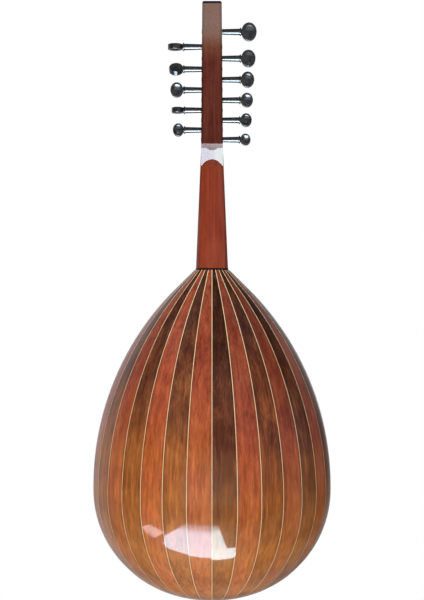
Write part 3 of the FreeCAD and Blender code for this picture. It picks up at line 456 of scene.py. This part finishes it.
def heel_finish():
    """The heel: the pegbox's wood on the facet, and the neck's redder wood where its root joins the neck."""
    tree = straight_wood("heel_wood", PEGBOX_WOOD, lean=PEGBOX_LEAN, gloss=0.26, seed=40.0)
    box_colour = tree.colour_so_far()
    redder = tuple(neck / box for neck, box in zip(NECK_WOOD[1], PEGBOX_WOOD[1]))
    reddened = tree.add("ShaderNodeVectorMath", {0: box_colour, 1: redder}, operation="MULTIPLY")
    faces_up = tree.split(tree.normal())[2]
    height = tree.place()[2]
    root_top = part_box("pegbox_heel")[0].z + HEEL_ROOT_LENGTH
    is_root = tree.maths("MULTIPLY", tree.maths("GREATER_THAN", faces_up, HEEL_FACET_LEAN),
                         tree.maths("LESS_THAN", height, root_top))
    tree.shade({
        "Base Color": tree.blend(is_root, box_colour, reddened.outputs[0]),
        "Specular IOR Level": HEEL_GLOW,
        "Specular Tint": (*HEEL_GLOW_TINT, 1.0),
    })
    return tree


def pegbox_finish(name, tone):
    """The pegbox's wood: the lacquer is worn away where hands reach the pegs, and whole at the tip.

    The faces that look sideways keep their colour, and the others have painted shade near the sides.
    """
    shades = toned(PEGBOX_WOOD, tone)
    tree = straight_wood(name, shades, lean=PEGBOX_LEAN, gloss=0.42, seed=18.0, haze=0.20)
    height = tree.place()[2]
    # painted highlight: the wood is painted paler towards the tip
    tip_highlight = tree.between(height, *TIP_HIGHLIGHT_HEIGHTS, 0.0, TIP_HIGHLIGHT_SHARE, "SMOOTHSTEP")
    colour = tree.blend(tip_highlight, tree.colour_so_far(), (*TIP_HIGHLIGHT_BROWN, 1.0))
    low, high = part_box("pegbox_back")
    # painted shade along the pegbox's sides
    shade = painted_side_shade(tree, high.x, low.z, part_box("pegbox_cap")[1].x, high.z, PEGBOX_PAINTED_SHADE)
    sideways = tree.maths("ABSOLUTE", tree.split(tree.normal())[0])
    tree.shade({
        "Base Color": tree.scaled(colour, tree.maths("MAXIMUM", shade, sideways)),
        "Coat Weight": tree.between(height, *LACQUERED, 0.0, 1.0, "SMOOTHSTEP"),
        "Coat IOR": TIP_COAT_IOR,
        "Specular IOR Level": 0.0,
    })
    return tree


def peg_finish():
    """Ebony turned and burnished to a hard shine."""
    tree = straight_wood("peg_ebony", PEG_EBONY, axis="x", gloss=0.34, seed=33.0, haze=0.24)
    tree.shade({"Coat IOR": PEG_COAT_IOR})
    return tree


# ---------------------------------------------------------------- the soundboard, nut and strings
BOARD_WANDER = Pattern((12.0, 0.0, 3.0), detail=2.0)
BOARD_FIBRES = Pattern((1600.0, 0.0, 40.0), detail=3.0)
BOARD_TONES = Pattern((9.0, 0.0, 4.0), detail=2.0)
RING_SPACING = 0.0015
RING_WANDER = 0.004
LATE_WOOD_SHARPNESS = 4.0
LATE_WOOD_SHARE = 0.45
BOARD_TONE_SHARE = 0.25
RING_TONES = (0.5, 1.0)
BOARD_ROUGHNESS = (0.46, 0.62)
RING_DEPTH = 0.00006
RING_BUMP = 0.5
# the darker and the lighter colour of bone, silvered wire and nylon
BONE = [linear((214, 200, 168)), linear((238, 230, 208))]
SILVER = [linear((150, 138, 120)), linear((214, 208, 198))]
NYLON = [linear((206, 196, 170)), linear((232, 226, 208))]
BONE_GRAIN = Pattern((160.0, 900.0, 900.0), detail=3.0)
BONE_ROUGHNESS = (0.22, 0.34)
BONE_DEPTH = 0.00003
BONE_GLOW = 0.15
BONE_GLOW_DEPTH = 0.002
TARNISH = Pattern((200.0, 30.0, 30.0), detail=3.0)
SILVER_ROUGHNESS = (0.22, 0.42)
WIRE_SPACING = 0.00045
WIRE_DEPTH = 0.00005
WIRE_BUMP = 0.8
NYLON_HAZE = Pattern((400.0, 60.0, 60.0), detail=2.0)
NYLON_ROUGHNESS = (0.16, 0.30)
NYLON_DEPTH = 0.00002
NYLON_CLEARNESS = 0.35
FAINT_BUMP = 0.3
NOISE_LOW = 0.30
NOISE_HIGH = 0.70


def two_tone(tree, noise, shades):
    """A colour between two shades, by a noise."""
    return tree.ramp(noise, [(NOISE_LOW, shades[0]), (NOISE_HIGH, shades[1])])


def spruce_finish(side):
    """The soundboard: close straight growth lines that wander a little, and no lacquer."""
    tree = Finish(f"soundboard_spruce_{side}")
    places = tree.place()
    wander = tree.pattern(places, BOARD_WANDER)
    bent = tree.maths("MULTIPLY_ADD", wander, RING_WANDER, places[0])
    rings = tree.maths("SINE", tree.maths("MULTIPLY", bent, 2 * math.pi / RING_SPACING))
    late = tree.maths("POWER", tree.spread(rings, *RING_TONES), LATE_WOOD_SHARPNESS)
    fibres = tree.pattern(places, BOARD_FIBRES)
    colour = two_tone(tree, fibres, SPRUCE[1:])
    colour = tree.blend(tree.maths("MULTIPLY", late, LATE_WOOD_SHARE), colour, (*SPRUCE[0], 1.0))
    tone = tree.spread(tree.pattern(places, BOARD_TONES), 0.0, BOARD_TONE_SHARE)
    tree.shade({
        "Base Color": tree.blend(tone, colour, (*SPRUCE[0], 1.0)),
        "Roughness": tree.spread(fibres, *BOARD_ROUGHNESS),
        "Normal": tree.bump(late, RING_DEPTH, RING_BUMP),
    })
    return tree


def bone_finish():
    """Polished bone with a faint long grain."""
    tree = Finish("nut_bone")
    grain = tree.pattern(tree.place(), BONE_GRAIN)
    tree.shade({
        "Base Color": two_tone(tree, grain, BONE),
        "Roughness": tree.spread(grain, *BONE_ROUGHNESS),
        "Normal": tree.bump(grain, BONE_DEPTH, FAINT_BUMP),
        "Subsurface Weight": BONE_GLOW,
        "Subsurface Scale": BONE_GLOW_DEPTH,
    })
    return tree


def wound_finish():
    """A silvered winding: close turns round the string, a little tarnished."""
    tree = Finish("wound_string")
    places = tree.place()
    down_the_string = tree.maths("SUBTRACT", places[2], places[1])
    turns = tree.maths("SINE", tree.maths("MULTIPLY", down_the_string, 2 * math.pi / WIRE_SPACING))
    tarnish = tree.pattern(places, TARNISH)
    tree.shade({
        "Base Color": two_tone(tree, tarnish, SILVER),
        "Metallic": 1.0,
        "Roughness": tree.spread(tarnish, *SILVER_ROUGHNESS),
        "Normal": tree.bump(turns, WIRE_DEPTH, WIRE_BUMP),
    })
    return tree


def nylon_finish():
    """Clear, slightly yellowed nylon."""
    tree = Finish("nylon_string")
    haze = tree.pattern(tree.place(), NYLON_HAZE)
    tree.shade({
        "Base Color": two_tone(tree, haze, NYLON),
        "Roughness": tree.spread(haze, *NYLON_ROUGHNESS),
        "Normal": tree.bump(haze, NYLON_DEPTH, FAINT_BUMP),
        "Transmission Weight": NYLON_CLEARNESS,
    })
    return tree


# ---------------------------------------------------------------- dressing the CAD nodes
STRINGS = range(1, 12)
WOUND_STRINGS = 7


def string_slot(number):
    """The material slot of a string, which its material is named after too."""
    return "wound_string" if number <= WOUND_STRINGS else "nylon_string"


def dress(finish, *nodes):
    """Gives CAD nodes their material."""
    for node in nodes:
        materials = NODES[node].data.materials
        materials.clear()
        materials.append(finish.material)


def dress_bowl():
    """The ribs, the stringing and what is inside."""
    for side in SIDES:
        for number in range(1, RIBS_A_SIDE + 1):
            dress(rib_finish(side, number), f"rib_{side}_{number}")
    dress(stringing_finish(), "rib_stringing")
    dress(straight_wood("end_clasp_wood", DARK_WOOD, axis="x", gloss=0.30, seed=3.0), "end_clasp")
    dress(straight_wood("inner_spruce", SPRUCE, axis="x", gloss=0.6, coat=0.0, seed=5.0),
          "neck_block", "tail_block", "braces")


def dress_front():
    """The soundboard and everything on it, and the strings."""
    for side in SIDES:
        dress(spruce_finish(side), f"soundboard_{side}")
    dress(straight_wood("ebony", EBONY, gloss=0.28, coat=0.6, seed=9.0),
          "neck_ring", "fingerboard", "pickguard", "edge_binding")
    dress(straight_wood("bridge_walnut", WALNUT, axis="x", gloss=0.32, coat=0.3, seed=21.0), "bridge")
    dress(straight_wood("rosette_wood", ROSE_WOOD, gloss=0.40, coat=0.1, seed=2.0),
          "rosette_large", "rosettes_small")
    dress(bone_finish(), "nut")
    finishes = {"wound_string": wound_finish(), "nylon_string": nylon_finish()}
    for number in STRINGS:
        dress(finishes[string_slot(number)], f"string_{number}")


def dress_neck():
    """The neck, the pegbox and the pegs."""
    dress(neck_finish(), "neck")
    # the cheeks: the pegbox's wood darkened, as painted shade
    dress(pegbox_finish("pegbox_cheek_wood", CHEEK_PAINTED_SHADE), "pegbox_left_cheek", "pegbox_right_cheek")
    dress(pegbox_finish("pegbox_wood", 1.0), "pegbox_back", "pegbox_end_block")
    dress(heel_finish(), "pegbox_heel")
    dress(straight_wood("cap_ebony", EBONY, axis="x", gloss=0.28, coat=0.6, seed=27.0), "pegbox_cap")
    dress(peg_finish(), *(joint["child"] for joint in JOINTS))


# ---------------------------------------------------------------- string windings and ties
RIGHT_PEGS = 6
WINDING_TURNS = [4.3, 4.6, 4.4, 5.2, 4.7, 5.4, 5.1, 5.8, 5.3, 6.2, 5.9]
STEPS_A_TURN = 20
STRAND_ROUNDNESS = 3
STRAND_ORDER = 3
# a string's end lies this near to its peg's axis
NEAR_AXIS = 0.009
# the step from one turn to the next, in string radii, and how unevenly the turns lie
WINDING_STEP = 2.15
WINDING_UNEVENNESS = 0.05
WINDING_WANDER = 2.3
# a tie's loop behind the bridge, in string radii from the bridge's back, across and below its top
LOOP_STEPS = 16
LOOP_STAND_OFF = 1.15
LOOP_HALF_WIDTH = 1.3
LOOP_BELOW_TOP = 2.2
# how far the loop drifts sideways, in metres
LOOP_DRIFT = 0.0004
# a tie's turns in front of the bridge, in string radii from the bridge, from each other and from the string
TIE_TURNS = 3
TIE_STAND_OFF = 1.2
TIE_STEP = 2.1
TIE_REACH = 2.05
# how far outside the bridge or the nut a string's points still count as being at it
TOUCH = 0.001
NUT_SLACK = 0.0005


def strand(name, points, radius, number, body):
    """A round strand through these points, of one string's material, that rides on a body."""
    slot = string_slot(number)
    data = bpy.data.curves.new(name, "CURVE")
    data.dimensions = "3D"
    data.bevel_depth = radius
    data.bevel_resolution = STRAND_ROUNDNESS
    data.use_fill_caps = True
    spline = data.splines.new("NURBS")
    spline.points.add(len(points) - 1)
    for target, point in zip(spline.points, points):
        target.co = (*point, 1.0)
    spline.order_u = STRAND_ORDER
    spline.use_endpoint_u = True
    data.materials.append(bpy.data.materials[slot])
    piece = bpy.data.objects.new(name, data)
    SCENE.collection.objects.link(piece)
    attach(piece, body)


def ring_at(number, is_near):
    """The middle and radius of a string at the mesh points that pass a test."""
    ring = [vertex.co for vertex in NODES[f"string_{number}"].data.vertices if is_near(vertex.co)]
    middle = sum(ring, Vector()) / len(ring)
    radius = (max(point.x for point in ring) - min(point.x for point in ring)) / 2
    return middle, radius


def peg_of(number):
    """The joint of the peg that holds this string."""
    if number <= RIGHT_PEGS:
        name = f"peg_right_{RIGHT_PEGS + 1 - number}"
    else:
        name = f"peg_left_{number - RIGHT_PEGS}"
    return next(joint for joint in JOINTS if joint["child"] == name)


def make_winding(number):
    """The turns of one string round its peg, from the string's end towards the pegbox's middle."""
    joint = peg_of(number)
    axis = Vector(joint["pos_m"])
    end, radius = ring_at(
        number, lambda point: math.hypot(point.y - axis.y, point.z - axis.z) < NEAR_AXIS)
    outward = Vector((0, end.y - axis.y, end.z - axis.z))
    reach = outward.length
    outward.normalize()
    onward = Vector((0, -outward.z, outward.y))
    if onward.z < 0:
        onward.negate()
    inward = -1 if end.x > 0 else 1
    points = []
    for step in range(int(WINDING_TURNS[number - 1] * STEPS_A_TURN) + 1):
        turned = step / STEPS_A_TURN
        angle = 2 * math.pi * turned
        unevenness = 1 + WINDING_UNEVENNESS * math.sin(WINDING_WANDER * turned + number)
        spot = outward * (reach * math.cos(angle)) + onward * (reach * math.sin(angle))
        points.append((
            end.x + inward * WINDING_STEP * radius * turned * unevenness,
            axis.y + spot.y,
            axis.z + spot.z))
    strand(f"winding_{number}", points, radius, number, joint["child"])


def nut_point(number):
    """Where the string reaches the nut, on its straight run from the bridge."""
    low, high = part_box("nut")
    middle, _ = ring_at(number, lambda point: low.z - TOUCH < point.z < high.z + NUT_SLACK)
    return middle


def make_tie_back(number, end, radius):
    """The loop of a string's tie, up the back of the bridge."""
    low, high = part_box("bridge")
    height = high.y - LOOP_BELOW_TOP * radius - end.y
    points = []
    for step in range(LOOP_STEPS + 1):
        share = step / LOOP_STEPS
        angle = 2 * math.pi * share
        points.append((
            end.x + LOOP_HALF_WIDTH * radius * math.sin(angle) + LOOP_DRIFT * share,
            end.y + height * (1 - math.cos(angle)) / 2,
            low.z - radius * LOOP_STAND_OFF))
    strand(f"tie_back_{number}", points, radius, number, ROOT)


def make_tie_front(number, end, radius):
    """The turns of a string's tie, round the string in front of the bridge."""
    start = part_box("bridge")[1].z
    at_nut = nut_point(number)
    points = []
    for step in range(TIE_TURNS * STEPS_A_TURN + 1):
        turned = step / STEPS_A_TURN
        angle = 2 * math.pi * turned + number
        height = start + radius * (TIE_STAND_OFF + TIE_STEP * turned)
        middle = end.lerp(at_nut, (height - end.z) / (at_nut.z - end.z))
        points.append((
            middle.x + TIE_REACH * radius * math.cos(angle),
            middle.y + TIE_REACH * radius * math.sin(angle),
            height))
    strand(f"tie_front_{number}", points, radius, number, ROOT)


def make_string_ends():
    """The windings and ties of all the strings."""
    bridge_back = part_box("bridge")[0].z
    for number in STRINGS:
        make_winding(number)
        end, radius = ring_at(number, lambda point: point.z < bridge_back + TOUCH)
        make_tie_back(number, end, radius)
        make_tie_front(number, end, radius)


# ---------------------------------------------------------------- the floor
FLOOR = CAD_BOX[0].z - 1.63
FLOOR_RADIUS = 6.2
FLOOR_SOLID = 1.4
FLOOR_SIDES = 96
FLOOR_MOTTLE = Pattern((3.0, 3.0, 3.0), detail=2.0)
FLOOR_STOPS = [(0.3, (0.945, 0.945, 0.945)), (0.7, (0.955, 0.955, 0.955))]
FLOOR_ROUGHNESS = 0.9
FLOOR_SHINE = 0.1


def floor_finish():
    """Matt pale paint with the faintest mottling, which thins out to nothing at the floor's rim."""
    tree = Finish("studio_paint")
    places = tree.place()
    x, y, _ = places
    squares = tree.maths("ADD", tree.maths("MULTIPLY", x, x), tree.maths("MULTIPLY", y, y))
    radius = tree.maths("SQRT", squares)
    tree.shade({
        "Base Color": tree.ramp(tree.pattern(places, FLOOR_MOTTLE), FLOOR_STOPS),
        "Roughness": FLOOR_ROUGHNESS,
        "Specular IOR Level": FLOOR_SHINE,
        "Alpha": tree.between(radius, FLOOR_SOLID, FLOOR_RADIUS, 1.0, 0.0, "SMOOTHSTEP"),
    })
    return tree


def make_floor():
    """A wide pale floor, well below the hanging instrument and left out of its reflections."""
    corners = []
    for corner in range(FLOOR_SIDES):
        angle = 2 * math.pi * corner / FLOOR_SIDES
        corners.append((FLOOR_RADIUS * math.cos(angle), FLOOR_RADIUS * math.sin(angle), FLOOR))
    mesh = bpy.data.meshes.new("studio_floor")
    mesh.from_pydata(corners, [], [tuple(range(FLOOR_SIDES))])
    mesh.materials.append(floor_finish().material)
    floor = bpy.data.objects.new("studio_floor", mesh)
    floor.visible_glossy = False
    SCENE.collection.objects.link(floor)


# ---------------------------------------------------------------- the surroundings
WHITE = (1.0, 1.0, 1.0, 1.0)
DIM_WHITE = (0.97, 0.97, 1.0, 1.0)
MOTTLE_SCALE = 1.6
MOTTLE_DETAIL = 2.0
MOTTLE_NOISE = (0.35, 0.65)
MOTTLE_STRENGTHS = (0.03, 0.24)
# the studio's white wall stands beyond the instrument, as the camera sees it, and reaches further round
# on the left
WALL_WAY = (-0.35, 1.0, 0.0)
WALL_EDGES = (0.60, 1.02)
WALL_STRENGTH = 0.30


def make_world():
    """A white surround for the camera, and a dim mottled one with a brighter wall for everything else."""
    world = bpy.data.worlds.new("studio")
    world.use_nodes = True
    tree = Nodes(world.node_tree)
    seen = tree.nodes["Background"]
    tree.put(seen.inputs["Color"], WHITE)
    tree.put(seen.inputs["Strength"], 1.0)
    way = tree.add("ShaderNodeTexCoord").outputs["Generated"]
    mottle = tree.add("ShaderNodeTexNoise", {"Vector": way, "Scale": MOTTLE_SCALE, "Detail": MOTTLE_DETAIL})
    dim = tree.between(mottle.outputs["Fac"], *MOTTLE_NOISE, *MOTTLE_STRENGTHS)
    to_wall = tree.add("ShaderNodeVectorMath", {0: way, 1: WALL_WAY}, operation="DOT_PRODUCT")
    wall = tree.between(to_wall.outputs["Value"], *WALL_EDGES, 0.0, WALL_STRENGTH, "SMOOTHSTEP")
    surround = tree.add("ShaderNodeBackground", {
        "Color": DIM_WHITE,
        "Strength": tree.maths("ADD", dim, wall),
    })
    is_camera = tree.add("ShaderNodeLightPath").outputs["Is Camera Ray"]
    mix = tree.add("ShaderNodeMixShader", {0: is_camera, 1: surround.outputs[0], 2: seen.outputs[0]})
    tree.put(tree.nodes["World Output"].inputs["Surface"], mix.outputs[0])
    SCENE.world = world


# ---------------------------------------------------------------- the lights
class Light(NamedTuple):
    """A rectangular soft light, aimed at a point."""
    name: str
    place: tuple
    target: tuple
    size: tuple
    radiance: float
    tint: tuple


class Panel(NamedTuple):
    """A low panel that faces up: its edges in metres, and its strengths from its far to its near edge."""
    name: str
    left: float
    right: float
    near: float
    far: float
    radiance: float
    tint: tuple
    strengths: list


PANEL_HEIGHT = FLOOR + 0.1
# (place, strength) stops, from a panel's far edge to its near one and from the wall's foot to its top
EVEN = [(0.0, 1.0), (1.0, 1.0)]
FAR_END_FADE = [(0.0, 0.0), (0.25, 0.35), (0.50, 1.0), (1.0, 1.0)]
BOTH_ENDS_FADE = [(0.0, 0.0), (0.35, 1.0), (0.65, 1.0), (1.0, 0.0)]
WALL_FADE = [(0.0, 0.1), (0.5, 1.0), (1.0, 0.3)]
PANELS = [
    Panel("low_panel_right_near", left=0.0, right=0.60, near=-0.80, far=-1.28,
          radiance=14.0, tint=(0.72, 0.93, 1.0), strengths=EVEN),
    Panel("low_panel_right_far", left=0.0, right=0.42, near=-1.28, far=-3.30,
          radiance=13.0, tint=(0.72, 0.95, 1.0), strengths=FAR_END_FADE),
    Panel("low_panel_left", left=-1.60, right=0.0, near=-0.88, far=-3.30,
          radiance=12.5, tint=(0.62, 0.78, 1.0), strengths=FAR_END_FADE),
    Panel("low_panel_far_left", left=-2.9, right=-1.95, near=-0.76, far=-1.60,
          radiance=6.0, tint=(1.0, 0.88, 0.96), strengths=BOTH_ENDS_FADE),
]
LOW_WALL = Light("low_wall", place=(0.0, -2.6, -0.65), target=(0.0, 0.0, -0.65), size=(2.8, 1.5),
                 radiance=0.45, tint=(1.0, 0.96, 0.94))
SOFT_LIGHTS = [
    Light("front_soft", place=(-0.8, -3.2, -0.6), target=(0, 0, -0.4), size=(2.4, 2.0),
          radiance=2.45, tint=(1.0, 0.97, 0.94)),
    Light("board_soft", place=(0.9, 2.6, 0.6), target=(0, 0, -0.3), size=(1.8, 1.8),
          radiance=2.0, tint=(1, 1, 1)),
    Light("overhead", place=(0.0, 0.0, 3.4), target=(0, 0, 0), size=(12.0, 12.0),
          radiance=1.5, tint=(1, 1, 1)),
]


def make_light(light):
    """An area light of this brightness, hidden from the camera."""
    data = bpy.data.lights.new(light.name, "AREA")
    data.shape = "RECTANGLE"
    width, height = light.size
    data.size = width
    data.size_y = height
    data.energy = light.radiance * math.pi * width * height
    data.color = light.tint
    made = bpy.data.objects.new(light.name, data)
    made.location = light.place
    aim = Vector(light.target) - Vector(light.place)
    made.rotation_euler = aim.to_track_quat("-Z", "Y").to_euler()
    made.visible_camera = False
    SCENE.collection.objects.link(made)
    return made


def show_in_reflections_only(light, strengths):
    """Leaves a light in reflections alone, and shades it along its height by (place, strength) stops."""
    light.visible_diffuse = False
    light.visible_transmission = False
    light.data.use_nodes = True
    tree = Nodes(light.data.node_tree)
    along = tree.split(tree.add("ShaderNodeNewGeometry").outputs["Parametric"])[1]
    greys = [(place, (strength, strength, strength)) for place, strength in strengths]
    tree.put(tree.nodes["Emission"].inputs["Strength"], tree.ramp(along, greys, "EASE"))


def make_lights():
    """Tinted low panels and a faint low wall that show in the lacquer, and broad soft lights."""
    for panel in PANELS:
        middle = ((panel.left + panel.right) / 2, (panel.near + panel.far) / 2, PANEL_HEIGHT)
        above = (middle[0], middle[1], PANEL_HEIGHT + 1)
        size = (panel.right - panel.left, panel.near - panel.far)
        light = make_light(Light(panel.name, middle, above, size, panel.radiance, panel.tint))
        show_in_reflections_only(light, panel.strengths)
    show_in_reflections_only(make_light(LOW_WALL), WALL_FADE)
    for light in SOFT_LIGHTS:
        make_light(light).visible_glossy = False


SCENE.view_settings.view_transform = "Standard"
make_camera()
dress_bowl()
dress_front()
dress_neck()
make_string_ends()
make_floor()
make_world()
make_lights()
